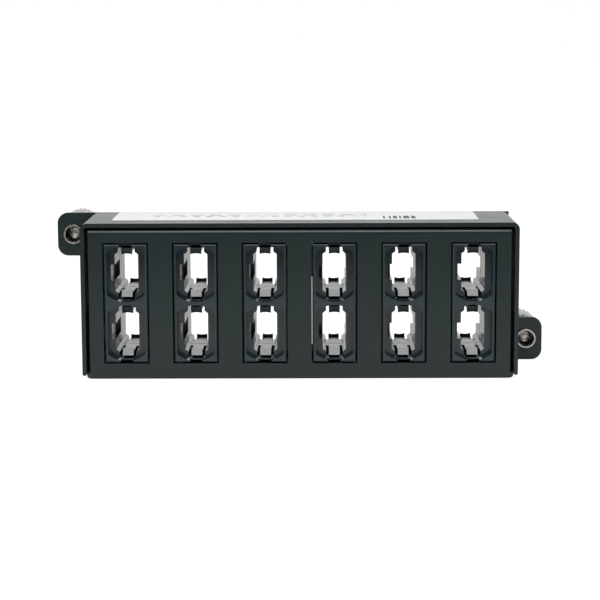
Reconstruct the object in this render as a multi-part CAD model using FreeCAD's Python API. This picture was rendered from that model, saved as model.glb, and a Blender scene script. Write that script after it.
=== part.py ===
import FreeCAD, Part
import math
import os

from FreeCAD import Vector

# A pass-through fibre cassette: a folded steel chassis with a clip-over cover holds a row of
# duplex multi-fibre adapters, and two captive spring-loaded thumbscrews on diagonal ears hold
# the cassette in its panel. Millimetres. X runs along the row, +Y points out of the side with
# the thumbscrew knobs (the front), +Z is up, and the origin is the centre of the underside.

# Folded sheet
SHEET = 0.9                     # powder-coated steel sheet
INSIDE_BEND = 0.3               # inside radius of a fold
BODY_WIDTH = 95.4
BODY_HEIGHT = 34.4
BODY_DEPTH = 24.4

# Chassis: rear panel, bottom and front plate folded from one blank, with two side flanges
REAR_PANEL_INSET = 1.75         # rear panel's side edge from the body's side
REAR_PANEL_CORNER = 1.0         # rounding of the rear panel's lower corners
REAR_LIP_DEPTH = 5.0            # lip folded inwards along the rear panel's top edge
LIP_TO_COVER = 0.35             # gap between that lip and the cover's roof
FLANGE_TO_COVER = 0.05          # gap between a side flange and the cover's wall
FLANGE_HEIGHT = 14.0
FLANGE_LENGTH = 14.0
FLANGE_CORNER = 1.5
RELIEF = 0.8                    # room left beside the front fold

# Ears on the front plate, one high and one low, so that neighbouring cassettes interleave
EAR_REACH = 8.0                 # how far an ear stands out past the body's side
EAR_HEIGHT = 9.9
EAR_CORNER = 2.4
SCREW_INSET = 3.65              # thumbscrew axis to the ear's outer end

# Cover: roof and two walls
COVER_BEND = 1.5                # outside radius of the cover's folds
COVER_LIFT = 0.85               # the walls end this far above the underside
COVER_TO_PLATE = 0.05           # gap between the cover and the front plate
COVER_EDGE_ROUND = 0.4          # rounding of the walls' lower edges

# Label on the roof
LABEL_LEFT = 6.3                # label's left end from the body's side
LABEL_RIGHT = 8.3               # label's right end from the body's side
LABEL_DEPTH = 17.3
LABEL_THICKNESS = 0.1
LABEL_INSET = 0.2               # label's front edge from the cover's front edge
LABEL_CORNER = 0.8

# Adapters: each is a rear and a front moulding, welded at the middle
COLUMNS = 6
COLUMN_MARGIN = 8.075           # middle of the outermost adapters from the rear panel's side
ROW_HEIGHT = 16.85              # middle of the adapters above the underside
ADAPTER_WIDTH = 9.25
ADAPTER_HEIGHT = 25.9
ADAPTER_EDGE = 0.25             # small chamfer around the end faces
ADAPTER_PROUD = 0.25            # rear face stands out past the rear panel
CUTOUT_GAP = 0.35               # between an adapter and its cut-out, all round
ADAPTER_FLANGE_REACH = 1.0      # front moulding's flange above and below its body
ADAPTER_FLANGE_DEPTH = 1.7
SNAP_WIDTH = 4.0                # wedges that snap in behind the front plate
SNAP_HEIGHT = 0.55
SNAP_LENGTH = 3.0
SNAP_GAP = 0.1

# Ports: two in each adapter
PORT_PITCH = 13.05
POCKET_RADIUS = 6.15            # the mouth is a circle with two flat sides
POCKET_WIDTH = 8.2
POCKET_DEPTH = 2.65
BORE_WIDTH = 5.1                # passage for the plug
SHOULDER_LOW = 4.0              # half-height of the passage at its sides
SHOULDER_HIGH = 4.55            # half-height of the passage in its middle
NOTCH_WIDTH = 3.65              # notch above and below the passage, with a latch arm in it
NOTCH_ROOT = 2.7                # the notch ends this far from the adapter's middle
SEAM_GROOVE = 0.3               # groove round the passage where the mouldings meet
KEY_HEIGHT = 3.5                # key slot beside the passage
KEY_DEPTH = 0.85
RIM_GRIP_WIDTH = 2.7            # gap in the rear rim above and below the ports

# Latch arms in the notches
ARM_WIDTH = 2.4
ARM_THICKNESS = 0.85            # the arm's inner side is level with the passage
ARM_SETBACK = 0.15              # arm's free end behind the pocket floor
HOOK_RADIUS = 4.06              # the hooks' tips lie on this circle round the port axis
HOOK_CORNER = 3.9               # distance of the hooks' corners from the mid-height
HOOK_LEAD = 1.0                 # length of the hook's lead-in slope
HOOK_FLAT = 0.4                 # length of the hook's tip
FLEX_GAP = 0.6                  # room behind the arm to flex into

# Cover screws and their clinch nuts, one on each side at mid-depth
COVER_SCREW_HEIGHT = 8.5
COVER_SCREW_RADIUS = 1.25
COVER_SCREW_HEAD = 2.2          # countersunk head radius
COVER_SCREW_LENGTH = 3.6
COVER_SCREW_SLACK = 0.1         # hole larger than the screw, on the radius
NUT_RADIUS = 2.4
NUT_THICKNESS = 1.5

# Captive thumbscrew
SLEEVE_RADIUS = 2.2             # retainer sleeve through the ear
SLEEVE_BORE = 1.9
SLEEVE_BEHIND = 0.6             # sleeve's rolled end behind the ear
SLEEVE_LENGTH = 8.4
SLEEVE_LIP = 0.7                # lip at the front end that keeps the screw in
SLEEVE_FLANGE_RADIUS = 2.9
SLEEVE_FLANGE = 0.6
SLEEVE_SLACK = 0.02             # sleeve in its hole, on the radius
NECK_SLACK = 0.08               # screw neck in the sleeve's lip, on the radius
NECK_RADIUS = 1.15
THREAD_RADIUS = 1.5
THREAD_LENGTH = 4.8
THREAD_POINT = 0.45             # chamfer at the screw's point
LIP_STOP_GAP = 0.1              # thread to lip when the screw is drawn out
KNOB_RADIUS = 4.35
KNOB_LENGTH = 8.0
KNOB_CAP = 1.6                  # thickness of the knob's closed front end
KNOB_BORE = 3.1                 # cup that closes over the sleeve
KNOB_TEETH = 26
KNURL_DEPTH = 0.3
KNOB_CHAMFER = 0.35
KNOB_END_GAP = 0.3              # cup floor to sleeve with the screw pushed home
KNOB_TRAVEL = 8.0
HEAD_RADIUS = 1.7               # screw's head pressed into the knob
DRIVE_SLOT_WIDTH = 0.6
DRIVE_SLOT_LENGTH = 2.4
DRIVE_SLOT_DEPTH = 1.0

# Spring around the sleeve
WIRE_RADIUS = 0.175
WIRE_SIDES = 5                  # the wire's section has this many sides
SPRING_TURNS = 6
STEPS_PER_TURN = 12
SPRING_TO_SLEEVE = 0.175
SPRING_END_GAP = 0.03           # spring ends to the faces that they press on

# Places that follow from the sizes above
REAR = -BODY_DEPTH / 2          # outer face of the rear panel
FRONT = BODY_DEPTH / 2          # outer face of the front plate
PLATE_INNER = FRONT - SHEET     # inner face of the front plate, and the ears' rear face
OUTSIDE_BEND = INSIDE_BEND + SHEET
REAR_PANEL_WIDTH = BODY_WIDTH - 2 * REAR_PANEL_INSET
COLUMN_PITCH = (REAR_PANEL_WIDTH - 2 * COLUMN_MARGIN) / (COLUMNS - 1)
ADAPTER_REAR = REAR - ADAPTER_PROUD
ADAPTER_FRONT = FRONT + ADAPTER_FLANGE_DEPTH
ADAPTER_MIDDLE = (ADAPTER_REAR + ADAPTER_FRONT) / 2
CUTOUT_WIDTH = ADAPTER_WIDTH + 2 * CUTOUT_GAP
CUTOUT_HEIGHT = ADAPTER_HEIGHT + 2 * CUTOUT_GAP
EAR_END = BODY_WIDTH / 2 + EAR_REACH
SCREW_X = EAR_END - SCREW_INSET
LOW_SCREW_Z = EAR_HEIGHT / 2
HIGH_SCREW_Z = BODY_HEIGHT - EAR_HEIGHT / 2
EAR_SCREWS = {"left": (-SCREW_X, HIGH_SCREW_Z), "right": (SCREW_X, LOW_SCREW_Z)}
SLEEVE_REAR = PLATE_INNER - SLEEVE_BEHIND
SLEEVE_FRONT = SLEEVE_REAR + SLEEVE_LENGTH
LIP_REAR = SLEEVE_FRONT - SLEEVE_LIP
THREAD_FRONT = LIP_REAR - LIP_STOP_GAP
CUP_FLOOR = SLEEVE_FRONT + KNOB_END_GAP + KNOB_TRAVEL
KNOB_FRONT = CUP_FLOOR + KNOB_CAP
FLANGE_FACE = BODY_WIDTH / 2 - SHEET - FLANGE_TO_COVER   # outer face of a side flange


def block(x0, x1, y0, y1, z0, z1):
    """A box between two corners."""
    return Part.makeBox(x1 - x0, y1 - y0, z1 - z0, Vector(x0, y0, z0))


def rod(radius, y0, y1, x=0.0, z=0.0):
    """A cylinder along Y."""
    return Part.makeCylinder(radius, y1 - y0, Vector(x, y0, z), Vector(0, 1, 0))


def side_rod(radius, x0, x1):
    """A cylinder along X at the height of the cover screws, from x0 towards x1."""
    direction = Vector(math.copysign(1, x1 - x0), 0, 0)
    return Part.makeCylinder(radius, abs(x1 - x0), Vector(x0, 0, COVER_SCREW_HEIGHT), direction)


def polygon_prism(points, direction):
    """The closed polygon through the points, extruded along direction."""
    return Part.Face(Part.makePolygon(points + points[:1])).extrude(direction)


def plate(x0, x1, z0, z1, y0, y1, corner):
    """An upright plate with all four corners rounded."""
    solid = block(x0, x1, y0, y1, z0, z1)
    upright = [e for e in solid.Edges if abs(e.tangentAt(e.FirstParameter).y) > 0.9]
    return solid.makeFillet(corner, upright)


def edges_at(solid, test):
    """The edges whose ends and middle all pass the test."""
    def passes(edge):
        middle = edge.valueAt((edge.FirstParameter + edge.LastParameter) / 2)
        return all(test(p) for p in [v.Point for v in edge.Vertexes] + [middle])
    return [e for e in solid.Edges if passes(e)]


def near(a, b):
    """True where two lengths agree to a micrometre."""
    return abs(a - b) < 1e-3


def column_places():
    """The adapters' middles along X."""
    return [(i - (COLUMNS - 1) / 2) * COLUMN_PITCH for i in range(COLUMNS)]


def inner_path(path):
    """A path in the YZ plane moved one sheet thickness to its left.

    Every stretch of the path runs along Y or Z.
    """
    lefts = []
    for (y0, z0), (y1, z1) in zip(path, path[1:]):
        length = math.hypot(y1 - y0, z1 - z0)
        lefts.append(((z0 - z1) / length * SHEET, (y1 - y0) / length * SHEET))
    moved = []
    for i, (y, z) in enumerate(path):
        beside = lefts[max(i - 1, 0):i + 1]
        moved.append((y + sum(left[0] for left in beside), z + sum(left[1] for left in beside)))
    return moved


def folded_sheet(path, width):
    """Sheet folded along an outside path in the YZ plane, centred on X = 0.

    The sheet lies on the left of the path, and each inner corner is a fold.
    """
    inside = inner_path(path)
    outline = [Vector(-width / 2, y, z) for y, z in path + inside[::-1]]
    solid = polygon_prism(outline, Vector(width, 0, 0))
    folds = [(OUTSIDE_BEND, corner) for corner in path[1:-1]]
    folds += [(INSIDE_BEND, corner) for corner in inside[1:-1]]
    for radius, (y, z) in folds:
        solid = solid.makeFillet(radius, edges_at(
            solid, lambda p: near(p.y, y) and near(p.z, z)))
    return solid


# Chassis ------------------------------------------------------------------------------------

def front_plate():
    """Front plate with its two ears, above the bottom fold."""
    half = BODY_WIDTH / 2
    start = OUTSIDE_BEND + RELIEF
    body = block(-half, half, PLATE_INNER, FRONT, start, BODY_HEIGHT)
    high = plate(-EAR_END, -half + EAR_REACH, BODY_HEIGHT - EAR_HEIGHT, BODY_HEIGHT,
                 PLATE_INNER, FRONT, EAR_CORNER)
    low = plate(half - EAR_REACH, EAR_END, 0, EAR_HEIGHT, PLATE_INNER, FRONT, EAR_CORNER)
    fold_room = block(0, REAR_PANEL_WIDTH / 2 + RELIEF, PLATE_INNER, FRONT, 0, start)
    return body.fuse([high, low.cut(fold_room)])


def side_flange(side):
    """Flange folded up from the bottom, that the cover is screwed to; side is -1 or 1."""
    outer = side * FLANGE_FACE
    root = side * (REAR_PANEL_WIDTH / 2 - OUTSIDE_BEND - SHEET)
    ys = (-FLANGE_LENGTH / 2, FLANGE_LENGTH / 2)
    wall = block(min(outer, outer - side * SHEET), max(outer, outer - side * SHEET),
                 *ys, 0, FLANGE_HEIGHT)
    top = edges_at(wall, lambda p: near(p.z, FLANGE_HEIGHT))
    top = [e for e in top if abs(e.tangentAt(e.FirstParameter).x) > 0.9]
    wall = wall.makeFillet(FLANGE_CORNER, top)
    floor = block(min(root, outer), max(root, outer), *ys, 0, SHEET)
    flange = wall.fuse(floor).removeSplitter()
    fold = edges_at(flange, lambda p: near(p.x, outer) and near(p.z, 0))
    flange = flange.makeFillet(OUTSIDE_BEND, fold)
    inner = edges_at(flange, lambda p: near(p.x, outer - side * SHEET) and near(p.z, SHEET))
    return flange.makeFillet(INSIDE_BEND, inner)


def tray():
    """Rear panel with its lip, bottom, and the foot of the front plate, in one folded strip."""
    lip_z = BODY_HEIGHT - SHEET - LIP_TO_COVER
    path = [(REAR + REAR_LIP_DEPTH, lip_z), (REAR, lip_z), (REAR, 0), (FRONT, 0),
            (FRONT, OUTSIDE_BEND + RELIEF)]
    strip = folded_sheet(path, REAR_PANEL_WIDTH)
    half, round_off = REAR_PANEL_WIDTH / 2, REAR_PANEL_CORNER
    for side in (-1, 1):
        x0, x1 = sorted((side * half, side * (half - round_off)))
        corner = block(x0, x1, REAR, REAR + OUTSIDE_BEND, 0, round_off)
        centre_x = side * (half - round_off)
        strip = strip.cut(corner.cut(rod(round_off, REAR, REAR + OUTSIDE_BEND, centre_x, round_off)))
    return strip


def chassis_openings():
    """Everything that is punched through the chassis."""
    z0 = ROW_HEIGHT - CUTOUT_HEIGHT / 2
    openings = [block(x - CUTOUT_WIDTH / 2, x + CUTOUT_WIDTH / 2, REAR, FRONT,
                      z0, z0 + CUTOUT_HEIGHT) for x in column_places()]
    for x, z in EAR_SCREWS.values():
        openings.append(rod(SLEEVE_RADIUS + SLEEVE_SLACK, PLATE_INNER, FRONT, x, z))
        side = math.copysign(1, x)
        openings.append(side_rod(COVER_SCREW_RADIUS + COVER_SCREW_SLACK, side * FLANGE_FACE,
                                 side * (FLANGE_FACE - SHEET)))
    return openings


def base_chassis():
    chassis = tray().fuse([front_plate(), side_flange(-1), side_flange(1)])
    return chassis.removeSplitter().cut(chassis_openings())


# Cover and label ----------------------------------------------------------------------------

def top_cover():
    half = BODY_WIDTH / 2
    y1 = PLATE_INNER - COVER_TO_PLATE
    outer = block(-half, half, REAR, y1, COVER_LIFT, BODY_HEIGHT)
    inner = block(-half + SHEET, half - SHEET, REAR, y1, COVER_LIFT, BODY_HEIGHT - SHEET)
    cover = outer.cut(inner)
    for side in (-1, 1):
        x = side * half
        cover = cover.makeFillet(COVER_BEND, edges_at(
            cover, lambda p: near(p.x, x) and near(p.z, BODY_HEIGHT)))
        cover = cover.makeFillet(COVER_BEND - SHEET, edges_at(
            cover, lambda p: near(p.x, x - side * SHEET) and near(p.z, BODY_HEIGHT - SHEET)))
        for edge_x in (x, x - side * SHEET):
            cover = cover.makeFillet(COVER_EDGE_ROUND, edges_at(
                cover, lambda p: near(p.x, edge_x) and near(p.z, COVER_LIFT)))
        cover = cover.cut(countersunk_head(side))
    return cover


def countersunk_head(side):
    """Head of a cover screw, as deep as the cover's wall; side is -1 or 1."""
    return Part.makeCone(COVER_SCREW_HEAD, COVER_SCREW_RADIUS, SHEET,
                         Vector(side * BODY_WIDTH / 2, 0, COVER_SCREW_HEIGHT), Vector(-side, 0, 0))


def top_label():
    y1 = PLATE_INNER - COVER_TO_PLATE - LABEL_INSET
    sheet = block(LABEL_LEFT - BODY_WIDTH / 2, BODY_WIDTH / 2 - LABEL_RIGHT,
                  y1 - LABEL_DEPTH, y1, BODY_HEIGHT, BODY_HEIGHT + LABEL_THICKNESS)
    corners = [e for e in sheet.Edges if abs(e.tangentAt(e.FirstParameter).z) > 0.9]
    return sheet.makeFillet(LABEL_CORNER, corners)


def cover_screw(side):
    """Countersunk screw through the cover's wall into its nut."""
    outer = side * BODY_WIDTH / 2
    shank = side_rod(COVER_SCREW_RADIUS, outer, outer - side * COVER_SCREW_LENGTH)
    return countersunk_head(side).fuse(shank).removeSplitter()


def clinch_nut(side):
    """Round nut pressed on the inside of a side flange."""
    face = side * (FLANGE_FACE - SHEET)
    nut = side_rod(NUT_RADIUS, face, face - side * NUT_THICKNESS)
    return nut.cut(side_rod(COVER_SCREW_RADIUS, face, face - side * NUT_THICKNESS))


def on_both_sides(make):
    """One compound of the same piece on both sides."""
    return Part.makeCompound([make(side) for side in (-1, 1)])


# Adapters -----------------------------------------------------------------------------------

def mouth(floor, face):
    """Pocket at a port's mouth, on an axis at the origin: a circle with two flat sides."""
    y0, y1 = sorted((floor, face))
    sides = block(-POCKET_WIDTH / 2, POCKET_WIDTH / 2, y0, y1, -POCKET_RADIUS, POCKET_RADIUS)
    return rod(POCKET_RADIUS, y0, y1).common(sides)


def passage(y0, y1, wider=0.0):
    """Plug passage with sloping shoulders, on an axis at the origin, widened on every side."""
    half, low, high = BORE_WIDTH / 2 + wider, SHOULDER_LOW + wider, SHOULDER_HIGH + wider
    right = [(NOTCH_WIDTH / 2, -high), (half, -low), (half, low), (NOTCH_WIDTH / 2, high)]
    left = [(-x, z) for x, z in right[::-1]]
    return polygon_prism([Vector(x, y0, z) for x, z in right + left], Vector(0, y1 - y0, 0))


def latch_arm(floor, middle):
    """Upper latch arm on an axis at the origin, from its free end near floor to the middle."""
    inwards = math.copysign(1, middle - floor)
    tip = floor + inwards * ARM_SETBACK
    crest = tip + inwards * HOOK_LEAD
    catch = crest + inwards * HOOK_FLAT
    inner, outer = SHOULDER_HIGH, SHOULDER_HIGH + ARM_THICKNESS
    profile = [(tip, outer), (crest, HOOK_CORNER), (catch, HOOK_CORNER), (catch, inner),
               (middle, inner), (middle, outer)]
    points = [Vector(-ARM_WIDTH / 2, y, z) for y, z in profile]
    arm = polygon_prism(points, Vector(ARM_WIDTH, 0, 0))
    return arm.cut(rod(HOOK_RADIUS, *sorted((floor, middle))))


def notch(floor, middle):
    """Notch above the passage, open at the mouth, with room for the arm to flex outwards."""
    root = middle - math.copysign(NOTCH_ROOT, middle - floor)
    return block(-NOTCH_WIDTH / 2, NOTCH_WIDTH / 2, *sorted((floor, root)),
                 0, SHOULDER_HIGH + ARM_THICKNESS + FLEX_GAP)


def with_ports(body, face, key_side):
    """Cut both ports into an adapter body and add their latches; face is the mouths' plane."""
    y0, y1 = sorted((face, ADAPTER_MIDDLE))
    floor = face + math.copysign(POCKET_DEPTH, ADAPTER_MIDDLE - face)
    key_x0, key_x1 = sorted((0, key_side * (BORE_WIDTH / 2 + KEY_DEPTH)))
    key = block(key_x0, key_x1, y0, y1, -KEY_HEIGHT / 2, KEY_HEIGHT / 2)
    room, arm = notch(floor, ADAPTER_MIDDLE), latch_arm(floor, ADAPTER_MIDDLE)
    port = [mouth(floor, face), passage(y0, y1), key, room, upside_down(room)]
    cuts, arms = [], []
    for z in (PORT_PITCH / 2, -PORT_PITCH / 2):
        place = Vector(0, 0, z)
        cuts += [tool.translated(place) for tool in port]
        arms += [arm.translated(place), upside_down(arm).translated(place)]
    return body.cut(cuts).fuse(arms).removeSplitter()


def upside_down(shape):
    """The shape mirrored in the level plane through its axis."""
    return shape.mirror(Vector(0, 0, 0), Vector(0, 0, 1))


def adapter_body(face):
    """Plain outside of one moulding, from its mouths' plane to the adapter's middle."""
    y0, y1 = sorted((face, ADAPTER_MIDDLE))
    return block(-ADAPTER_WIDTH / 2, ADAPTER_WIDTH / 2, y0, y1,
                 -ADAPTER_HEIGHT / 2, ADAPTER_HEIGHT / 2)


def broken_edges(body, face):
    """The body with a small chamfer around the end face in the mouths' plane."""
    return body.makeChamfer(ADAPTER_EDGE, edges_at(body, lambda p: near(p.y, face)))


def rear_half():
    """Rear moulding: grip gaps in its rim, and a groove in its passages at the seam."""
    body = broken_edges(adapter_body(ADAPTER_REAR), ADAPTER_REAR)
    rim = PORT_PITCH / 2 + SHOULDER_HIGH
    grip = block(-RIM_GRIP_WIDTH / 2, RIM_GRIP_WIDTH / 2, ADAPTER_REAR,
                 ADAPTER_REAR + POCKET_DEPTH, rim, ADAPTER_HEIGHT / 2)
    groove = passage(ADAPTER_MIDDLE - SEAM_GROOVE, ADAPTER_MIDDLE, SEAM_GROOVE)
    grooves = [groove.translated(Vector(0, 0, z)) for z in (PORT_PITCH / 2, -PORT_PITCH / 2)]
    moulding = with_ports(body.cut([grip, upside_down(grip)]), ADAPTER_REAR, -1)
    return moulding.cut(grooves)


def front_half():
    """Front moulding: flange against the front plate, and wedges that snap in behind it."""
    half_width, reach = ADAPTER_WIDTH / 2, ADAPTER_HEIGHT / 2 + ADAPTER_FLANGE_REACH
    flange = block(-half_width, half_width, FRONT, ADAPTER_FRONT, -reach, reach)
    behind, top, half = PLATE_INNER - SNAP_GAP, ADAPTER_HEIGHT / 2, SNAP_WIDTH / 2
    wedge = polygon_prism([Vector(-half, behind, top), Vector(-half, behind, top + SNAP_HEIGHT),
                           Vector(-half, behind - SNAP_LENGTH, top)], Vector(SNAP_WIDTH, 0, 0))
    body = adapter_body(ADAPTER_FRONT).fuse([flange, wedge, upside_down(wedge)])
    return with_ports(broken_edges(body.removeSplitter(), ADAPTER_FRONT), ADAPTER_FRONT, 1)


# Captive thumbscrews ------------------------------------------------------------------------
# Each is made on an axis at the origin and moved to its ear.

def sleeve():
    """Retainer sleeve pressed through the ear, with a flange in front and a lip at the end."""
    tube = rod(SLEEVE_RADIUS, SLEEVE_REAR, SLEEVE_FRONT)
    flange = rod(SLEEVE_FLANGE_RADIUS, FRONT, FRONT + SLEEVE_FLANGE)
    bore = rod(SLEEVE_BORE, SLEEVE_REAR, LIP_REAR)
    lip = rod(NECK_RADIUS + NECK_SLACK, LIP_REAR, SLEEVE_FRONT)
    return tube.fuse(flange).cut([bore, lip]).removeSplitter()


def thumbscrew():
    """Threaded end, neck, and a head pressed into the knob, with a cross slot."""
    tip = THREAD_FRONT - THREAD_LENGTH
    point = Part.makeCone(THREAD_RADIUS - THREAD_POINT, THREAD_RADIUS, THREAD_POINT,
                          Vector(0, tip, 0), Vector(0, 1, 0))
    thread = rod(THREAD_RADIUS, tip + THREAD_POINT, THREAD_FRONT)
    neck = rod(NECK_RADIUS, THREAD_FRONT, CUP_FLOOR)
    head = rod(HEAD_RADIUS, CUP_FLOOR, KNOB_FRONT)
    slot = [DRIVE_SLOT_LENGTH / 2, DRIVE_SLOT_WIDTH / 2]
    crosses = [block(-a, a, KNOB_FRONT - DRIVE_SLOT_DEPTH, KNOB_FRONT, -b, b)
               for a, b in (slot, slot[::-1])]
    return point.fuse([thread, neck, head]).removeSplitter().cut(crosses)


def knurl(y, radius):
    """Toothed ring in a plane across the knob, with the teeth's tips on the radius."""
    ring = []
    for i in range(2 * KNOB_TEETH):
        reach = radius - (i % 2) * KNURL_DEPTH
        angle = math.pi * i / KNOB_TEETH
        ring.append(Vector(reach * math.cos(angle), y, reach * math.sin(angle)))
    return Part.makePolygon(ring + ring[:1])


def knob():
    """Straight-knurled knob, hollow at the back to close over the sleeve and spring."""
    rear = KNOB_FRONT - KNOB_LENGTH
    end_radius = KNOB_RADIUS - KNOB_CHAMFER
    rings = [knurl(rear, end_radius), knurl(rear + KNOB_CHAMFER, KNOB_RADIUS),
             knurl(KNOB_FRONT - KNOB_CHAMFER, KNOB_RADIUS), knurl(KNOB_FRONT, end_radius)]
    toothed = Part.makeLoft(rings, True, True)
    cup = rod(KNOB_BORE, rear, CUP_FLOOR)
    socket = rod(HEAD_RADIUS, CUP_FLOOR, KNOB_FRONT)
    return toothed.cut([cup, socket])


def wire_section(radius, y):
    """Section of the spring's wire where it crosses the XY plane."""
    corners = [2 * math.pi * i / WIRE_SIDES for i in range(WIRE_SIDES)]
    section = [Vector(radius + WIRE_RADIUS * math.cos(a), y + WIRE_RADIUS * math.sin(a), 0)
               for a in corners]
    return Part.makePolygon(section + section[:1])


def spring():
    """Compression spring around the sleeve, from its flange to the knob's cup floor."""
    radius = SLEEVE_RADIUS + SPRING_TO_SLEEVE + WIRE_RADIUS
    start = FRONT + SLEEVE_FLANGE + SPRING_END_GAP + WIRE_RADIUS
    rise = CUP_FLOOR - SPRING_END_GAP - WIRE_RADIUS - start
    sections = []
    steps = SPRING_TURNS * STEPS_PER_TURN
    for i in range(steps + 1):
        section = wire_section(radius, start + rise * i / steps)
        section.rotate(Vector(0, 0, 0), Vector(0, 1, 0), 360 * i / STEPS_PER_TURN)
        sections.append(section)
    return Part.makeLoft(sections, True, True)


def write(name, shape):
    shape.exportStep(os.path.join("parts", name + ".step"))


def main():
    os.makedirs("parts", exist_ok=True)
    write("base_chassis", base_chassis())
    write("top_cover", top_cover())
    write("top_label", top_label())
    write("cover_screws", on_both_sides(cover_screw))
    write("clinch_nuts", on_both_sides(clinch_nut))
    rear, front = rear_half(), front_half()
    for number, x in enumerate(column_places(), start=1):
        place = Vector(x, 0, ROW_HEIGHT)
        write(f"adapter_{number}_rear_half", rear.translated(place))
        write(f"adapter_{number}_front_half", front.translated(place))
    pieces = {"sleeve": sleeve(), "spring": spring(), "screw": thumbscrew(), "knob": knob()}
    for ear, (x, z) in EAR_SCREWS.items():
        for name, shape in pieces.items():
            write(f"{ear}_{name}", shape.translated(Vector(x, 0, z)))


if __name__ == "__main__":
    main()
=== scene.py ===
"""Dresses the fibre cassette: finishes for its sheet metal, mouldings and turned parts, round-wire
springs, threaded screws and a plain printed label, on a pale floor under soft studio light."""
import logging
import math
from collections.abc import Callable, Iterator
from contextlib import contextmanager
from dataclasses import dataclass, field
from enum import Enum, IntEnum

import bpy
from mathutils import Euler, Matrix, Vector


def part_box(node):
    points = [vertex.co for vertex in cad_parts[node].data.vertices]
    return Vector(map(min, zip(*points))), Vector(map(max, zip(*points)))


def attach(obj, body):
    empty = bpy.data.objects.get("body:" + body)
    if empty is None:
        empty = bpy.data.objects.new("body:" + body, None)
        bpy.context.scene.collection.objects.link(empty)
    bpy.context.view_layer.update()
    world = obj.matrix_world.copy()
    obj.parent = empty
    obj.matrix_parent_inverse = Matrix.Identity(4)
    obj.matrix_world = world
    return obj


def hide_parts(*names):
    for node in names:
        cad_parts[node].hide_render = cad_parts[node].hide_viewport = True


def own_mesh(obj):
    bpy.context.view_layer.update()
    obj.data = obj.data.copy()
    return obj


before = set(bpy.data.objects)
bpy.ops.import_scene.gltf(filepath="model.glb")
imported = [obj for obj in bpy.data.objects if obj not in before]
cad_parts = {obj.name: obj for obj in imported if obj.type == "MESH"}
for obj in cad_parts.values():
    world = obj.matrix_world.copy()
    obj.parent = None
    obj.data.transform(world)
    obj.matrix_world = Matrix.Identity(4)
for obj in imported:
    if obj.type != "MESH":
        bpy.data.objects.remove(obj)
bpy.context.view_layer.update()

LOG = logging.getLogger("fibre_cassette")
MM = 0.001

Span = tuple[float, float]      # a lowest and a highest value, or a first and a last
Socket = bpy.types.NodeSocket   # what one shader node hands to the next


class Side(Enum):
    """The two ears, each with its own captive thumbscrew."""

    LEFT = "left"
    RIGHT = "right"


class Axis(IntEnum):
    """The frame's axes, as indices into a vector."""

    X = 0
    Y = 1
    Z = 2


# Shader helpers --------------------------------------------------------------------------------


def linear(colour: str) -> tuple[float, float, float, float]:
    """Turn an sRGB hex colour into the linear values that shaders take.

    Args:
        colour: a colour such as "#1b1d20".

    Returns:
        Red, green, blue and an alpha of 1.
    """
    parts = [int(colour[i:i + 2], 16) / 255 for i in (1, 3, 5)]
    values = [p / 12.92 if p <= 0.04045 else ((p + 0.055) / 1.055) ** 2.4 for p in parts]
    return values[0], values[1], values[2], 1.0


def add_node(tree: bpy.types.NodeTree, kind: str, settings: dict | None = None,
             inputs: dict | None = None) -> bpy.types.Node:
    """Add a node with its settings, and set or link its inputs.

    Args:
        tree: the node tree to add to.
        kind: the node's type, such as "ShaderNodeTexNoise".
        settings: attributes of the node by name.
        inputs: values, or output sockets to link, by input name or number.

    Returns:
        The new node.
    """
    node = tree.nodes.new(kind)
    for name, value in (settings or {}).items():
        setattr(node, name, value)
    for name, value in (inputs or {}).items():
        socket = node.inputs[name]
        if isinstance(value, bpy.types.NodeSocket):
            tree.links.new(value, socket)
        else:
            socket.default_value = value
    return node


def empty_tree(owner: bpy.types.Material | bpy.types.World) -> bpy.types.NodeTree:
    """Give a material or a world an empty node tree.

    Args:
        owner: the material or world.

    Returns:
        Its tree, without nodes.
    """
    owner.use_nodes = True
    owner.node_tree.nodes.clear()
    return owner.node_tree


def maths(tree: bpy.types.NodeTree, operation: str, *values: Socket | float,
          clamp: bool = False) -> Socket:
    """Calculate with numbers and sockets.

    Args:
        tree: the node tree to add to.
        operation: the sum, such as "MULTIPLY".
        values: its terms.
        clamp: whether the result stays between 0 and 1.

    Returns:
        The result.
    """
    node = add_node(tree, "ShaderNodeMath", {"operation": operation, "use_clamp": clamp},
                    dict(enumerate(values)))
    return node.outputs["Value"]


def map_range(tree: bpy.types.NodeTree, value: Socket, source: Span, target: Span = (0.0, 1.0),
              shape: str = "LINEAR") -> Socket:
    """Carry a value from one range over to another, and hold it at the ends.

    Args:
        tree: the node tree to add to.
        value: the value.
        source: where its range begins and ends.
        target: what those two become.
        shape: how it goes from one to the other.

    Returns:
        The value in its new range.
    """
    node = add_node(tree, "ShaderNodeMapRange", {"interpolation_type": shape}, {
        "Value": value, "From Min": source[0], "From Max": source[1],
        "To Min": target[0], "To Max": target[1]})
    return node.outputs["Result"]


def mix_colours(tree: bpy.types.NodeTree, share: Socket, first: Socket | tuple,
                second: Socket | tuple) -> Socket:
    """Mix two colours.

    Args:
        tree: the node tree to add to.
        share: how much of the second colour shows, from 0 to 1.
        first: the first colour.
        second: the second colour.

    Returns:
        The mixed colour.
    """
    # The node has inputs and outputs of several types: 6, 7 and 2 are those for colours.
    node = add_node(tree, "ShaderNodeMix", {"data_type": "RGBA"}, {0: share, 6: first, 7: second})
    return node.outputs[2]


def split_axes(tree: bpy.types.NodeTree, vector: Socket) -> list[Socket]:
    """Split a vector.

    Args:
        tree: the node tree to add to.
        vector: the vector.

    Returns:
        Its X, Y and Z.
    """
    return list(add_node(tree, "ShaderNodeSeparateXYZ", {}, {"Vector": vector}).outputs)


def pattern_scale(size_mm: float) -> float:
    """Scale of a pattern on Object coordinates whose features are size_mm across."""
    return 1 / (size_mm * MM)


# Finishes --------------------------------------------------------------------------------------

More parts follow.
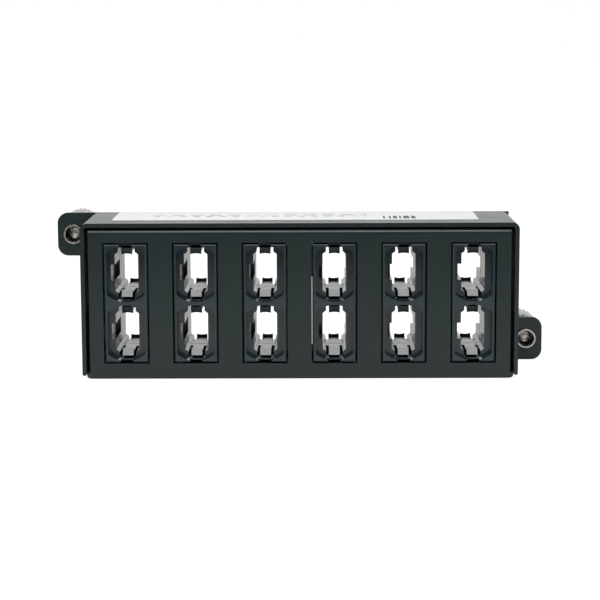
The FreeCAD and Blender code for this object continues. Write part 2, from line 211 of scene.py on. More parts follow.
BEVEL_SAMPLES = 4
GRAIN_DETAIL = 2.0
PATCH_DETAIL = 3.0
PATCH_SPREAD = (0.3, 0.7)       # the part of the patch noise that the roughness follows
EDGE_TURN = (0.98, 0.8)         # cosine of flat to rounded normal where the edge colour, rubbing and painted highlight, begins and is full


@dataclass(frozen=True)
class Finish:
    """A surface: its colour, how it shines, its fine grain, how its edges catch the light, and an
    edge colour that is partly rubbing and partly a painted highlight.

    Attributes:
        name: the real material's common name.
        colour: sRGB hex colour.
        wear_and_highlight_colour: sRGB hex colour at edges, partly rubbed and partly a painted
            highlight.
        roughness: mean roughness.
        variation: how far the roughness moves either way over the surface.
        metallic: 1 for bare metal, else 0.
        ior: index of refraction of a coating or plastic.
        grain_mm: size of the surface's grain.
        grain_depth_mm: height of that grain.
        patch_mm: size of the patches in which roughness drifts.
        edge_mm: radius at which edges look rounded.
        wear_and_highlight: how strongly that edge colour, rubbing and painted highlight, shows at
            edges, from 0 to 1.
    """

    name: str
    colour: str
    wear_and_highlight_colour: str
    roughness: float
    variation: float
    metallic: float
    ior: float
    grain_mm: float
    grain_depth_mm: float
    patch_mm: float
    edge_mm: float
    wear_and_highlight: float

    def build(self) -> bpy.types.Material:
        """Make the material.

        Returns:
            The new material.
        """
        material = bpy.data.materials.new(self.name)
        tree = empty_tree(material)
        place = add_node(tree, "ShaderNodeTexCoord").outputs["Object"]
        grain = self.noise(tree, place, self.grain_mm, GRAIN_DETAIL)
        patches = self.noise(tree, place, self.patch_mm, PATCH_DETAIL)
        edge = add_node(tree, "ShaderNodeBevel", {"samples": BEVEL_SAMPLES}, {
            "Radius": self.edge_mm * MM}).outputs["Normal"]
        bump = add_node(tree, "ShaderNodeBump", {}, {
            "Height": grain, "Distance": self.grain_depth_mm * MM, "Normal": edge})
        roughness = map_range(tree, patches, PATCH_SPREAD, (
            self.roughness - self.variation, self.roughness + self.variation))
        # Painted highlight: edges take an edge colour that is partly rubbing and partly a painted
        # highlight.
        colour = self.coloured(tree, place, self.wear_and_highlight_mask(tree, edge, patches))
        shader = add_node(tree, "ShaderNodeBsdfPrincipled", {}, {
            "Base Color": colour, "Roughness": roughness, "Metallic": self.metallic,
            "IOR": self.ior, "Normal": bump.outputs["Normal"]})
        add_node(tree, "ShaderNodeOutputMaterial", {}, {"Surface": shader.outputs["BSDF"]})
        return material

    def noise(self, tree: bpy.types.NodeTree, place: Socket, size_mm: float,
              detail: float) -> Socket:
        """Make an even noise.

        Args:
            tree: the material's tree.
            place: Object coordinates.
            size_mm: size of its features.
            detail: how many finer layers it has.

        Returns:
            The noise, around 0.5.
        """
        return add_node(tree, "ShaderNodeTexNoise", {}, {
            "Vector": place, "Scale": pattern_scale(size_mm), "Detail": detail}).outputs["Fac"]

    def wear_and_highlight_mask(self, tree: bpy.types.NodeTree, edge: Socket, patches: Socket) -> Socket:
        """Find the edges, where the rounded normal departs from the flat one, for rubbing and a
        painted highlight.

        Args:
            tree: the material's tree.
            edge: the rounded normal.
            patches: noise that breaks the rubbing and painted highlight up.

        Returns:
            A mask, 0 on flats and at edges up to the strength of the painted highlight and rubbing.
        """
        flat = add_node(tree, "ShaderNodeNewGeometry").outputs["True Normal"]
        alike = add_node(tree, "ShaderNodeVectorMath", {"operation": "DOT_PRODUCT"}, {
            0: edge, 1: flat})
        bent = map_range(tree, alike.outputs["Value"], EDGE_TURN, (0.0, self.wear_and_highlight))
        return maths(tree, "MULTIPLY", bent, patches, clamp=True)

    def coloured(self, tree: bpy.types.NodeTree, place: Socket, mask: Socket) -> Socket:
        """Mix the body colour with the edge colour of rubbing and painted highlight.

        Args:
            tree: the material's tree.
            place: Object coordinates, not used here.
            mask: where edges are rubbed and carry a painted highlight.

        Returns:
            The colour socket.
        """
        return mix_colours(tree, mask, linear(self.colour), linear(self.wear_and_highlight_colour))


@dataclass(frozen=True)
class PrintField:
    """A rectangle of the label that is printed on, in the frame's X and Y.

    Attributes:
        x_mm: where it begins and ends along X.
        y_mm: where it begins and ends along Y.
    """

    x_mm: Span
    y_mm: Span

    def clip(self, tree: bpy.types.NodeTree, axes: list[Socket], mask: Socket) -> Socket:
        """Keep a mask inside the field.

        Args:
            tree: the material's tree.
            axes: X, Y and Z of the Object coordinates.
            mask: the mask.

        Returns:
            The mask inside the field, and 0 outside it.
        """
        for value, (low, high) in zip(axes, (self.x_mm, self.y_mm)):
            within = maths(tree, "COMPARE", value, (low + high) / 2 * MM, (high - low) / 2 * MM)
            mask = maths(tree, "MULTIPLY", mask, within)
        return mask


@dataclass(frozen=True)
class PrintedPaper(Finish):
    """Label stock with two lines of pale grey dashes and a block of bars, which stand for print.

    Attributes:
        ink: sRGB hex colour of the dashes.
        bar_ink: sRGB hex colour of the bars.
        word_mm: length of a dash with its space.
        line_mm: distance between two lines.
        space_mm: half of the space round a dash.
        stagger: how far the second line is shifted, as a share of a dash.
        shorter: length of the second line's dashes, as a share of the first line's.
        faint: how strongly the faintest dash is printed, from 0 to 1.
        bar_mm: width of the narrowest bar.
        bar_share: share of the block that bars cover.
        words: where the dashes are.
        bars: where the bars are.
    """

    ink: str = "#8b9094"
    bar_ink: str = "#34383b"
    word_mm: float = 4.2
    line_mm: float = 2.7
    space_mm: float = 0.75
    stagger: float = 0.37
    shorter: float = 0.7
    faint: float = 0.35
    bar_mm: float = 0.45
    bar_share: float = 0.5
    words: PrintField = PrintField((-34.0, 15.0), (0.0, 5.4))
    bars: PrintField = PrintField((18.5, 26.5), (-4.0, 1.5))

    def coloured(self, tree: bpy.types.NodeTree, place: Socket, mask: Socket) -> Socket:
        """Lay the printed dashes and bars over the paper's colour.

        Args:
            tree: the material's tree.
            place: Object coordinates.
            mask: where edges are rubbed and carry a painted highlight.

        Returns:
            The colour socket.
        """
        paper = super().coloured(tree, place, mask)
        axes = split_axes(tree, place)
        # The scale makes the pattern's unit 1 mm, so its other sizes are real ones.
        dashes = add_node(tree, "ShaderNodeTexBrick", {
            "offset": self.stagger, "squash": self.shorter}, {
            "Vector": place, "Color1": (1, 1, 1, 1), "Color2": (*[self.faint] * 3, 1),
            "Mortar": (0, 0, 0, 1), "Scale": pattern_scale(1.0), "Mortar Size": self.space_mm,
            "Brick Width": self.word_mm, "Row Height": self.line_mm})
        step = maths(tree, "FLOOR", maths(tree, "DIVIDE", axes[Axis.X], self.bar_mm * MM))
        chance = add_node(tree, "ShaderNodeTexWhiteNoise", {"noise_dimensions": "1D"}, {"W": step})
        bar = maths(tree, "LESS_THAN", chance.outputs["Value"], self.bar_share)
        words = self.words.clip(tree, axes, dashes.outputs["Color"])
        bars = self.bars.clip(tree, axes, bar)
        printed = mix_colours(tree, words, paper, linear(self.ink))
        return mix_colours(tree, bars, printed, linear(self.bar_ink))


# Fine black polyester powder over steel: an even low sheen with a faint pebbled skin, and a
# slightly paler line along folds and cut edges, partly where the film is thin and partly a painted
# highlight.
POWDER_COAT = Finish(
    name="powder_coated_steel", colour="#162728", wear_and_highlight_colour="#465254", roughness=0.33, variation=0.03,
    metallic=0.0, ior=1.56, grain_mm=0.35, grain_depth_mm=0.004, patch_mm=9.0, edge_mm=0.12,
    wear_and_highlight=0.5)

# Injection-moulded black PBT: smooth from a polished tool, so it mirrors at a low angle, with
# a cooler grey painted along its edges and small ribs, a painted highlight where light grazes them.
MOULDED_PBT = Finish(
    name="moulded_pbt", colour="#1f2f35", wear_and_highlight_colour="#55646c", roughness=0.2, variation=0.03,
    metallic=0.0, ior=1.62, grain_mm=0.6, grain_depth_mm=0.002, patch_mm=4.0, edge_mm=0.07,
    wear_and_highlight=0.45)

# Bright zinc plate on turned steel: a grey-white metal, softly reflecting.
ZINC_PLATE = Finish(
    name="zinc_plated_steel", colour="#dad8d2", wear_and_highlight_colour="#eeede9", roughness=0.27, variation=0.06,
    metallic=1.0, ior=1.5, grain_mm=0.2, grain_depth_mm=0.003, patch_mm=1.5, edge_mm=0.05,
    wear_and_highlight=0.6)

# Turned and knurled aluminium, left bare: paler than zinc and a little satin.
TURNED_ALUMINIUM = Finish(
    name="turned_aluminium", colour="#aaa8a1", wear_and_highlight_colour="#cfcdc7", roughness=0.32, variation=0.05,
    metallic=1.0, ior=1.5, grain_mm=0.25, grain_depth_mm=0.003, patch_mm=2.0, edge_mm=0.06,
    wear_and_highlight=0.6)

# Drawn spring wire: bright, with a slight drag along its length.
SPRING_WIRE = Finish(
    name="drawn_spring_steel", colour="#b9bbbd", wear_and_highlight_colour="#dddedf", roughness=0.24, variation=0.05,
    metallic=1.0, ior=1.5, grain_mm=0.15, grain_depth_mm=0.002, patch_mm=0.8, edge_mm=0.03,
    wear_and_highlight=0.3)

# Black-oxide screws: darker and duller than the powder coat.
BLACK_OXIDE = Finish(
    name="black_oxide_steel", colour="#2a2b2d", wear_and_highlight_colour="#6b6d70", roughness=0.38, variation=0.06,
    metallic=1.0, ior=1.5, grain_mm=0.2, grain_depth_mm=0.003, patch_mm=1.2, edge_mm=0.05,
    wear_and_highlight=0.6)

# White coated label stock: bright, faintly satin, with a hint of tooth.
LABEL_PAPER = PrintedPaper(
    name="coated_label_paper", colour="#f7f8fa", wear_and_highlight_colour="#eceded", roughness=0.5, variation=0.05,
    metallic=0.0, ior=1.45, grain_mm=0.3, grain_depth_mm=0.001, patch_mm=12.0, edge_mm=0.03,
    wear_and_highlight=0.2)


MADE: dict[str, bpy.types.Material] = {}


def material_of(finish: Finish) -> bpy.types.Material:
    """Build a finish once, and hand back the same material after that.

    Args:
        finish: the finish that is wanted.

    Returns:
        Its material.
    """
    if finish.name not in MADE:
        MADE[finish.name] = finish.build()
    return MADE[finish.name]


def paint(node: str, finish: Finish) -> None:
    """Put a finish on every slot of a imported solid.

    Args:
        node: the solid's name.
        finish: the finish that it gets.
    """
    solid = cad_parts[node]
    for slot in solid.material_slots:
        slot.material = material_of(finish)


# Modelling helpers -----------------------------------------------------------------------------

SMOOTH_DEG = 35                 # faces that meet at a smaller angle are shaded as one
ROUND_SEGMENTS = 6
SAME_MM = 0.01                  # coordinates closer than this are the same


def deselect() -> None:
    """Leave edit mode and select nothing."""
    if bpy.context.object and bpy.context.object.mode != "OBJECT":
        bpy.ops.object.mode_set(mode="OBJECT")
    bpy.ops.object.select_all(action="DESELECT")


def pick(first: bpy.types.Object, *others: bpy.types.Object) -> None:
    """Select objects and nothing else, and make the first of them the active one.

    Args:
        first: the active object.
        others: the other objects.
    """
    deselect()
    for piece in (first, *others):
        piece.select_set(True)
    bpy.context.view_layer.objects.active = first


@contextmanager
def editing(select: str | None = "SELECT") -> Iterator[None]:
    """Edit the active object's mesh.

    Args:
        select: what happens to the selection first, or None to keep it.
    """
    bpy.ops.object.mode_set(mode="EDIT")
    if select:
        bpy.ops.mesh.select_all(action=select)
    yield
    bpy.ops.object.mode_set(mode="OBJECT")


def apply_place() -> None:
    """Move the selected objects' place, turn and scale into their meshes."""
    bpy.ops.object.transform_apply(location=True, rotation=True, scale=True)


def modify(piece: bpy.types.Object, kind: str, **settings: object) -> None:
    """Apply a modifier to the active object.

    Args:
        piece: the active object.
        kind: the modifier's type, such as "BEVEL".
        settings: its settings by name.
    """
    modifier = piece.modifiers.new(kind.lower(), kind)
    for name, value in settings.items():
        setattr(modifier, name, value)
    bpy.ops.object.modifier_apply(modifier=modifier.name)


def settle(piece: bpy.types.Object) -> None:
    """Move a piece's place into its mesh and smooth it up to its sharp edges.

    Args:
        piece: the object to finish.
    """
    pick(piece)
    apply_place()
    with editing():
        bpy.ops.mesh.normals_make_consistent(inside=False)
    bpy.ops.object.shade_smooth_by_angle(angle=math.radians(SMOOTH_DEG))


def fit(piece: bpy.types.Object, name: str, look: Finish, body: str = "chassis",
        node: str | None = None) -> None:
    """Settle a piece, name it, give it its finish and set it on its body.

    Args:
        piece: the modelled piece.
        name: the name that it gets.
        look: its finish.
        body: the body that it moves with.
        node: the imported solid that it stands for, if any.
    """
    settle(piece)
    piece.name = name
    piece.data.materials.clear()
    piece.data.materials.append(material_of(look))
    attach(piece, body)
    if node:
        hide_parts(node)


def join(first: bpy.types.Object, *others: bpy.types.Object) -> bpy.types.Object:
    """Join objects into the first of them.

    Args:
        first: the object that stays.
        others: the objects that become part of it.

    Returns:
        The joined object.
    """
    pick(first, *others)
    bpy.ops.object.join()
    return first


@dataclass
class Turned:
    """A piece turned on a lathe whose axis runs along Y.

    Attributes:
        axis: a point on the axis, in metres.
        stations: Y and radius of each ring along the outline, in mm.
        sides: how many sides each ring has.
    """

    axis: Vector
    stations: list[tuple[float, float]]
    sides: int = 48

    def make(self, name: str) -> bpy.types.Object:
        """Extrude a disc from station to station.

        Args:
            name: the new object's name.

        Returns:
            The closed solid.
        """
        deselect()
        (y, radius), *rest = self.stations
        bpy.ops.mesh.primitive_circle_add(
            vertices=self.sides, radius=radius * MM, fill_type="NGON",
            location=(self.axis.x, y * MM, self.axis.z), rotation=(math.pi / 2, 0, 0))
        piece = bpy.context.object
        piece.name = name
        apply_place()
        with editing():
            for next_y, next_radius in rest:
                bpy.ops.mesh.extrude_region_move(
                    TRANSFORM_OT_translate={"value": (0, (next_y - y) * MM, 0)})
                ratio = next_radius / radius
                bpy.ops.transform.resize(value=(ratio, 1, ratio), center_override=(
                    self.axis.x, next_y * MM, self.axis.z))
                y, radius = next_y, next_radius
        return piece


def cut_cross(piece: bpy.types.Object, centre: Vector, slot_mm: tuple[float, float, float]) -> None:
    """Cut a cross slot into a face that is square to Y.

    Args:
        piece: the object to cut.
        centre: middle of the face, in metres.
        slot_mm: the slots' length, width and depth.
    """
    length, width, depth = slot_mm
    for across, upright in ((length, width), (width, length)):
        deselect()
        bpy.ops.mesh.primitive_cube_add(
            size=1, location=centre, scale=(across * MM, 2 * depth * MM, upright * MM))
        cutter = bpy.context.object
        pick(piece)
        modify(piece, "BOOLEAN", operation="DIFFERENCE", solver="EXACT", object=cutter)
        bpy.data.objects.remove(cutter)


@dataclass(frozen=True)
class Edge:
    """A straight edge of a block, by its two ends.

    Attributes:
        start: one end, in metres.
        end: the other end.
    """

    start: Vector
    end: Vector

    def at(self, axis: Axis, place: float) -> bool:
        """Say whether both ends have one coordinate.

        Args:
            axis: which coordinate.
            place: its value, in metres.

        Returns:
            True if both ends lie there.
        """
        return all(abs(end[axis] - place) < SAME_MM * MM for end in (self.start, self.end))

    def along(self, axis: Axis) -> bool:
        """Say whether the edge runs along an axis.

        Args:
            axis: the axis.

        Returns:
            True if its ends lie apart along that axis.
        """
        return not self.at(axis, self.start[axis])


def rounded_block(name: str, corner: Vector, opposite: Vector, radius_mm: float,
                  rounded: Callable[[Edge], bool]) -> bpy.types.Object:
    """Make a block and round some of its edges.

    Args:
        name: the new object's name.
        corner: one corner, in metres.
        opposite: the corner that lies opposite to it.
        radius_mm: radius of the rounding.
        rounded: says whether an edge is rounded.

    Returns:
        The closed solid.
    """
    low, high = Vector(map(min, corner, opposite)), Vector(map(max, corner, opposite))
    deselect()
    bpy.ops.mesh.primitive_cube_add(size=1, location=(low + high) / 2, scale=high - low)
    piece = bpy.context.object
    piece.name = name
    apply_place()
    with editing("DESELECT"):
        bpy.ops.mesh.select_mode(type="EDGE")
    for edge in piece.data.edges:
        edge.select = rounded(Edge(*(piece.data.vertices[i].co for i in edge.vertices)))
    with editing(select=None):
        bpy.ops.mesh.bevel(offset=radius_mm * MM, segments=ROUND_SEGMENTS, affect="EDGES")
    return piece


@dataclass
class Coil:
    """A ridge or wire wound round an axis along Y.

    Attributes:
        axis: a point on the axis, in metres.
        radius_mm: distance of the section's middle from the axis.
        section_mm: half-width of the section, along the radius and along Y.
        start_mm: Y where the coil begins.
        pitch_mm: rise of one turn.
        turns: number of whole turns.
        sides: sides of the section.
        steps: steps in one turn.
    """

    axis: Vector
    radius_mm: float
    section_mm: tuple[float, float]
    start_mm: float
    pitch_mm: float
    turns: int
    sides: int = 12
    steps: int = 32

    def make(self, name: str) -> bpy.types.Object:
        """Wind the section round the axis with a screw modifier.

        Args:
            name: the new object's name.

        Returns:
            The closed coil.
        """
        deselect()
        bpy.ops.mesh.primitive_circle_add(
            vertices=self.sides, radius=1.0, location=(self.radius_mm * MM, 0, 0))
        piece = bpy.context.object
        piece.name = name
        piece.scale = (self.section_mm[0] * MM, self.section_mm[1] * MM, 1)
        apply_place()
        modify(piece, "SCREW", axis="Y", angle=2 * math.pi, screw_offset=self.pitch_mm * MM,
               iterations=self.turns, steps=self.steps, render_steps=self.steps,
               use_merge_vertices=False)
        with editing():
            bpy.ops.mesh.fill_holes(sides=self.sides)
        piece.data.transform(Matrix.Translation((self.axis.x, self.start_mm * MM, self.axis.z)))
        return piece


# Sub-assemblies --------------------------------------------------------------------------------


@dataclass
class Housing:
    """Chassis, cover and nuts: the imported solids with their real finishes.

    Attributes:
        finishes: each solid's finish.
    """

    finishes: dict[str, Finish] = field(default_factory=lambda: {
        "base_chassis": POWDER_COAT, "top_cover": POWDER_COAT, "clinch_nuts": ZINC_PLATE})

    def dress(self) -> None:
        """Give each solid its finish."""
        for node, finish in self.finishes.items():
            paint(node, finish)
        LOG.info("housing dressed: %s", ", ".join(self.finishes))


@dataclass
class CoverScrews:
    """The countersunk screws in the cover's walls, with the cross slots that their solids lack.

    Attributes:
        node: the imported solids.
        shank_mm: radius of the shank.
        sheet_mm: depth of the countersink.
        length_mm: overall length.
        rim_mm: height of the head's straight rim.
        slot_mm: the slots' length, width and depth.
    """

    node: str = "cover_screws"
    shank_mm: float = 1.25
    sheet_mm: float = 0.9
    length_mm: float = 3.6
    rim_mm: float = 0.06
    slot_mm: tuple[float, float, float] = (2.3, 0.42, 0.55)

    def dress(self) -> None:
        """Turn both screws, cut their slots and set them in the walls."""
        low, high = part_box(self.node)
        head_mm = (high.z - low.z) / 2 / MM
        middle = (low + high) / 2
        screws = []
        for side in (-1, 1):
            screw = Turned(Vector(), [
                (0, head_mm - self.rim_mm), (self.rim_mm, head_mm - self.rim_mm / 2),
                (self.sheet_mm, self.shank_mm), (self.length_mm, self.shank_mm)]).make("screw")
            cut_cross(screw, Vector(), self.slot_mm)
            place = Vector((side * high.x, middle.y, middle.z))
            screw.data.transform(Matrix.Translation(place)
                                 @ Matrix.Rotation(side * math.pi / 2, 4, "Z"))
            screws.append(screw)
        fit(join(*screws), "cover_screws_piece", BLACK_OXIDE, node=self.node)
        LOG.info("cover screws set")


@dataclass
class AdapterRow:
    """The moulded adapter halves, all in one black plastic.

    Attributes:
        prefix: how the names of their solids begin.
        finish: their finish.
    """

    prefix: str = "adapter_"
    finish: Finish = MOULDED_PBT

    def dress(self) -> None:
        """Give every half its finish."""
        halves = [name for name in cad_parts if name.startswith(self.prefix)]
        for name in halves:
            paint(name, self.finish)
        LOG.info("%d adapter halves dressed", len(halves))


@dataclass
class LocatingRibs:
    """Low ribs on the adapters' sides, inside the cassette, which centre them in their cut-outs.

    Attributes:
        suffix: how the names of the adapters' rear halves end.
        reach_mm: how far a rib stands out along the adapter's middle.
        stop_mm: how far it stands out at the top, where it fills the clearance.
        half_length_mm: half its length along Y.
        low_mm: height of its lower end.
        step_mm: height at which it grows to its full reach.
        top_gap_mm: how far it ends below the adapter's top.
        edge_mm: rounding of its outer edges, and how deep it sits in the adapter.
    """

    suffix: str = "_rear_half"
    reach_mm: float = 0.25
    stop_mm: float = 0.5
    half_length_mm: float = 6.0
    low_mm: float = 5.0
    step_mm: float = 21.9
    top_gap_mm: float = 1.0
    edge_mm: float = 0.06

    def dress(self) -> None:
        """Make the ribs of all adapters."""
        ribs = []
        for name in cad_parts:
            if name.endswith(self.suffix):
                low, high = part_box(name)
                top_mm = high.z / MM - self.top_gap_mm
                for face, out in ((low.x, -1), (high.x, 1)):
                    ribs.append(self.make(face, out * self.reach_mm, self.low_mm, self.step_mm))
                    ribs.append(self.make(face, out * self.stop_mm, self.step_mm, top_mm))
        fit(join(*ribs), "adapter_locating_ribs", MOULDED_PBT)
        LOG.info("%d locating ribs made", len(ribs))

    def make(self, face: float, reach_mm: float, bottom_mm: float,
             top_mm: float) -> bpy.types.Object:
        """Make one length of rib.

        Args:
            face: X of the adapter's side, in metres.
            reach_mm: how far the rib stands out of it, and which way.
            bottom_mm: height of its lower end.
            top_mm: height of its upper end.

        Returns:
            The closed solid.
        """
        outer = face + reach_mm * MM
        inner = face - math.copysign(self.edge_mm * MM, reach_mm)
        return rounded_block(
            "rib", Vector((inner, -self.half_length_mm * MM, bottom_mm * MM)),
            Vector((outer, self.half_length_mm * MM, top_mm * MM)), self.edge_mm,
            lambda edge: edge.at(Axis.X, outer) and edge.along(Axis.Y))


@dataclass
class BottomTabs:
    """Tabs that widen the chassis' bottom behind its rear fold, up to the cover's walls.

    Attributes:
        wall_mm: thickness of the cover's wall.
        gap_mm: gap between a tab and that wall.
        lift_mm: how far a tab's underside lies over the bottom's.
        width_mm: width of a tab, with the part that lies over the bottom's edge.
        height_mm: height of a tab, which is folded up beside the rear panel.
        setback_mm: rear end of a tab in front of the rear panel's outer face.
        length_mm: length of a tab along Y.
        round_mm: rounding of its lower edges.
    """

    wall_mm: float = 0.9
    gap_mm: float = 0.05
    lift_mm: float = 0.02
    width_mm: float = 1.8
    height_mm: float = 1.45
    setback_mm: float = 0.1
    length_mm: float = 5.1
    round_mm: float = 1.1

    def dress(self) -> None:
        """Make one tab on each side."""
        cover_low, cover_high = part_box("top_cover")
        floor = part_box("base_chassis")[0].z + self.lift_mm * MM
        rear = cover_low.y + self.setback_mm * MM
        tabs = []
        for wall, out in ((cover_low.x, -1), (cover_high.x, 1)):
            outer = wall - out * (self.wall_mm + self.gap_mm) * MM
            inner = outer - out * self.width_mm * MM
            tabs.append(rounded_block(
                "tab", Vector((outer, rear, floor)),
                Vector((inner, rear + self.length_mm * MM, floor + self.height_mm * MM)),
                self.round_mm, lambda edge, outer=outer: edge.at(Axis.Z, floor) and (
                    edge.at(Axis.X, outer) or edge.at(Axis.Y, rear))))
        fit(join(*tabs), "bottom_side_tabs", POWDER_COAT)
        LOG.info("bottom tabs made")


@dataclass
class Label:
    """The label on the roof, with rounded corners and rolled edges, blank but for plain strokes.

    Attributes:
        node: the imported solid.
        corner_mm: rounding of its corners.
        edge_mm: rounding of its edges.
    """

    node: str = "top_label"
    corner_mm: float = 0.8
    edge_mm: float = 0.03

    def dress(self) -> None:
        """Model the label over its solid."""
        low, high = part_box(self.node)
        piece = rounded_block("label_sheet", low, high, self.corner_mm,
                              lambda edge: edge.along(Axis.Z))
        modify(piece, "BEVEL", width=self.edge_mm * MM, segments=2)
        fit(piece, "label_sheet", LABEL_PAPER, node=self.node)
        LOG.info("label laid on the roof")


@dataclass
class Thumbscrew:
    """A captive thumbscrew: sleeve and knob as packed, with a round-wire spring and a cut thread.

    Attributes:
        side: which ear it is on.
        thread_mm: outer radius of the thread.
        root_mm: radius at the bottom of the thread.
        pitch_mm: rise of one turn of thread.
        ridge_share: half-width of the thread's ridge at its foot, as a share of the pitch.
        thread_length_mm: length of the threaded end.
        point_mm: length of that end, at its tip, that the ridge leaves bare.
        flat_mm: radius of the flat at its tip.
        tip_mm: radius round that flat, behind its rounding.
        tip_round_mm: length of that rounding.
        taper_mm: length from the flat to the full root.
        neck_mm: radius of the neck between thread and head.
        head_mm: radius of the head, which is sunk in the knob.
        cap_mm: how far the neck ends below the knob's face.
        rim_mm: rounding of the head's rim.
        slot_mm: length, width and depth of the slots in the head.
        wire_mm: radius of the spring's wire.
        coils: working turns of the spring.
    """

    side: Side
    thread_mm: float = 1.5
    root_mm: float = 1.22
    pitch_mm: float = 0.5
    ridge_share: float = 0.42
    thread_length_mm: float = 4.8
    point_mm: float = 0.45
    flat_mm: float = 0.85
    tip_mm: float = 1.05
    tip_round_mm: float = 0.1
    taper_mm: float = 0.3
    neck_mm: float = 1.15
    head_mm: float = 1.7
    cap_mm: float = 1.6
    rim_mm: float = 0.08
    slot_mm: tuple[float, float, float] = (2.4, 0.6, 1.0)
    wire_mm: float = 0.175
    coils: int = 6

    def node(self, part: str) -> str:
        """Name of one of this thumbscrew's solids, pieces, bodies or joints."""
        return f"{self.side.value}_{part}"

    def axis(self) -> Vector:
        """Point on the screw's axis, from its solid."""
        low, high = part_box(self.node("screw"))
        return (low + high) / 2

    def dress(self) -> None:
        """Finish the sleeve and knob, and model the screw and spring."""
        paint(self.node("sleeve"), ZINC_PLATE)
        paint(self.node("knob"), TURNED_ALUMINIUM)
        self.make_screw()
        self.make_spring()
        LOG.info("%s thumbscrew dressed", self.side.value)

    def make_screw(self) -> None:
        """Turn the screw, cut the slots in its head and wind its thread."""
        low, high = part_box(self.node("screw"))
        knob_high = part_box(self.node("knob"))[1]
        tip, end = low.y / MM, high.y / MM
        seat = knob_high.y / MM - self.cap_mm
        thread_end = tip + self.thread_length_mm
        shank = Turned(self.axis(), [
            (tip, self.flat_mm), (tip + self.tip_round_mm, self.tip_mm),
            (tip + self.taper_mm, self.root_mm), (thread_end, self.root_mm),
            (thread_end, self.neck_mm), (seat, self.neck_mm), (seat, self.head_mm),
            (end - self.rim_mm, self.head_mm), (end, self.head_mm - self.rim_mm),
        ]).make(self.node("screw_turned"))
        cut_cross(shank, Vector((self.axis().x, end * MM, self.axis().z)), self.slot_mm)
        ridge = (self.thread_mm - self.root_mm) / 2
        turns = int((self.thread_length_mm - self.point_mm) / self.pitch_mm)
        section = (ridge, self.ridge_share * self.pitch_mm)
        first = thread_end - (turns + 0.5) * self.pitch_mm
        thread = Coil(self.axis(), self.thread_mm - ridge, section, first, self.pitch_mm, turns,
                      sides=4)
        fit(join(shank, thread.make("thread")), self.node("screw_piece"), ZINC_PLATE,
            self.node("thumbscrew"), self.node("screw"))

    def make_spring(self) -> None:
        """Wind the spring, with a closed turn at each end."""
        low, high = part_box(self.node("spring"))
        axis = self.axis()
        radius = (high.x - low.x) / 2 / MM - self.wire_mm
        first, last = low.y / MM + self.wire_mm, high.y / MM - self.wire_mm
        closed = 2 * self.wire_mm
        pitch = (last - first - 2 * closed) / self.coils
        section = (self.wire_mm, self.wire_mm)
        wire = join(
            Coil(axis, radius, section, first + closed, pitch, self.coils).make("coils"),
            Coil(axis, radius, section, first, closed, 1).make("closed_rear"),
            Coil(axis, radius, section, last - closed, closed, 1).make("closed_front"))
        fit(wire, self.node("spring_piece"), SPRING_WIRE,
            node=self.node("spring"))
        push = self.node("screw_push")
        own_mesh(wire)


# Studio ----------------------------------------------------------------------------------------


@dataclass(frozen=True)
class Softbox:
    """A lamp that faces the cassette.

    Attributes:
        name: its name.
        place_m: where it hangs.
        size_m: its width and height.
        power_w: its power.
    """

    name: str
    place_m: tuple[float, float, float]
    size_m: tuple[float, float]
    power_w: float

    def hang(self) -> None:
        """Make the lamp."""
        deselect()
        bpy.ops.object.light_add(type="AREA", location=self.place_m)
        lamp = bpy.context.object
        lamp.name = self.name
        lamp.data.shape = "RECTANGLE"
        lamp.data.size, lamp.data.size_y = self.size_m
        lamp.data.energy = self.power_w
        lamp.rotation_euler = Vector(self.place_m).to_track_quat("Z", "Y").to_euler()


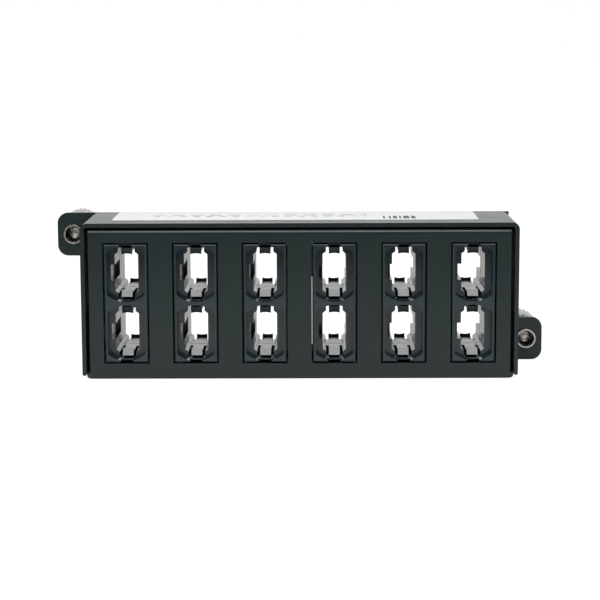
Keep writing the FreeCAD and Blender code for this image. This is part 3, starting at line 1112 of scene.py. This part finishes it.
@dataclass
class Studio:
    """Pale floor with painted shade far off that only reflections show, white surroundings and soft
    lamps.

    Attributes:
        floor_m: half-width of the floor.
        drop_m: how far the floor lies below the cassette.
        near_colour: sRGB hex colour of the floor round the cassette.
        painted_shade_colour: painted shade, the sRGB hex colour that reflections show of the floor
            further off towards -Y.
        painted_light_pool_m: Y at which the near colour ends and the painted shade is full, so that
            reflections show a painted pool of light round the cassette.
        shadow_share: how much of the lit floor the camera sees; the rest is plain white.
        white: strength of that white, which makes up for the lit floor's share.
        room: strength of what reflections show of the dark end of the studio, towards -Y.
        room_edge: Y of a direction in which that dark end ends and in which all is white.
        fill: strength of the surroundings as a light.
        lamps: the lamps.
    """

    floor_m: float = 3.0
    drop_m: float = 0.00005
    near_colour: str = "#f2f2f0"
    painted_shade_colour: str = "#3c3e3e"
    painted_light_pool_m: Span = (-0.135, -0.2)
    shadow_share: float = 0.35
    white: float = 1.38
    room: float = 0.15
    room_edge: Span = (-0.6, 0.2)
    fill: float = 0.4
    lamps: tuple[Softbox, ...] = (
        Softbox("overhead_softbox", (0.1, 0.1, 0.95), (0.9, 0.9), 0.9),
        Softbox("rear_softbox", (0, -0.5, 0.85), (0.6, 0.36), 4.0),
        Softbox("left_softbox", (-0.75, -0.35, 0.75), (0.6, 0.6), 1.6))

    def build(self) -> None:
        """Make the world, the floor and the lamps."""
        self.make_world()
        self.make_floor()
        for lamp in self.lamps:
            lamp.hang()
        LOG.info("studio built")

    def make_world(self) -> None:
        """White to the eye, white ahead and dim behind in reflections, a soft fill as a light."""
        world = bpy.data.worlds.new("white_studio")
        bpy.context.scene.world = world
        tree = empty_tree(world)
        rays = add_node(tree, "ShaderNodeLightPath").outputs
        direction = add_node(tree, "ShaderNodeTexCoord").outputs["Generated"]
        mirrored = map_range(tree, split_axes(tree, direction)[Axis.Y], self.room_edge,
                             (self.room, 1.0), "SMOOTHSTEP")
        strength = maths(tree, "MAXIMUM", rays["Is Camera Ray"], mirrored)
        shown = rays["Is Camera Ray"]
        for ray in ("Is Glossy Ray", "Is Transmission Ray"):
            shown = maths(tree, "MAXIMUM", shown, rays[ray])
        fill = add_node(tree, "ShaderNodeBackground", {}, {
            "Color": linear("#ffffff"), "Strength": self.fill})
        white = add_node(tree, "ShaderNodeBackground", {}, {
            "Color": linear("#ffffff"), "Strength": strength})
        mixed = add_node(tree, "ShaderNodeMixShader", {}, {
            0: shown, 1: fill.outputs[0], 2: white.outputs[0]})
        add_node(tree, "ShaderNodeOutputWorld", {}, {"Surface": mixed.outputs[0]})

    def make_floor(self) -> None:
        """A flat pale floor that keeps a faint shadow, with painted shade far off towards -Y that
        only reflections show.
        """
        deselect()
        bpy.ops.mesh.primitive_plane_add(size=2 * self.floor_m, location=(0, 0, -self.drop_m))
        floor = bpy.context.object
        floor.name = "floor"
        material = bpy.data.materials.new("pale_floor")
        tree = empty_tree(material)
        seen = add_node(tree, "ShaderNodeLightPath").outputs["Is Camera Ray"]
        place = add_node(tree, "ShaderNodeTexCoord").outputs["Object"]
        # Painted shade: past the pool, the floor turns dark for reflections only, which leaves a
        # painted pool of light round the cassette.
        outside = map_range(tree, split_axes(tree, place)[Axis.Y], self.painted_light_pool_m)
        reflected_shade = maths(tree, "SUBTRACT", outside, seen, clamp=True)
        colour = mix_colours(tree, reflected_shade, linear(self.near_colour), linear(self.painted_shade_colour))
        lit = add_node(tree, "ShaderNodeBsdfDiffuse", {}, {"Color": colour})
        white = add_node(tree, "ShaderNodeEmission", {}, {
            "Color": linear("#ffffff"), "Strength": self.white})
        mixed = add_node(tree, "ShaderNodeMixShader", {}, {
            0: maths(tree, "MULTIPLY", seen, 1 - self.shadow_share), 1: lit.outputs[0],
            2: white.outputs[0]})
        add_node(tree, "ShaderNodeOutputMaterial", {}, {"Surface": mixed.outputs[0]})
        floor.data.materials.append(material)


@dataclass
class Viewpoint:
    """The camera: a long lens a little above the rear of the cassette.

    Attributes:
        place_mm: where it stands.
        down_deg: how far it looks down.
        turn_deg: how far it is turned to the left.
        lean_deg: how far it leans clockwise.
        lens_mm: its focal length.
        sensor_mm: width of its sensor.
        clip_m: nearest and furthest distance that it sees.
    """

    place_mm: tuple[float, float, float] = (3.35, -406.74, 77.2)
    down_deg: float = 8.594
    turn_deg: float = 0.477
    lean_deg: float = 0.221
    lens_mm: float = 109.94
    sensor_mm: float = 36.0
    clip_m: Span = (0.01, 20.0)

    def build(self) -> None:
        """Make the scene's camera."""
        deselect()
        bpy.ops.object.camera_add(location=[v * MM for v in self.place_mm])
        camera = bpy.context.object
        camera.name = "camera"
        aim = Euler((math.radians(90 - self.down_deg), 0, math.radians(self.turn_deg)), "XYZ")
        lean = Matrix.Rotation(math.radians(-self.lean_deg), 3, "Z")
        camera.rotation_euler = (aim.to_matrix() @ lean).to_euler()
        camera.data.sensor_width = self.sensor_mm
        camera.data.lens = self.lens_mm
        camera.data.clip_start, camera.data.clip_end = self.clip_m
        bpy.context.scene.camera = camera
        LOG.info("camera placed")


def write_sizes() -> None:
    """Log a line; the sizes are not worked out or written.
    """
    LOG.info("sizes written")


def main() -> None:
    """Dress the cassette and light it."""
    logging.basicConfig(level=logging.INFO, format="%(name)s: %(message)s")
    bpy.context.scene.view_settings.view_transform = "Standard"
    Housing().dress()
    CoverScrews().dress()
    BottomTabs().dress()
    AdapterRow().dress()
    LocatingRibs().dress()
    Label().dress()
    for side in Side:
        Thumbscrew(side).dress()
    Studio().build()
    Viewpoint().build()
    write_sizes()


if __name__ == "__main__":
    main()
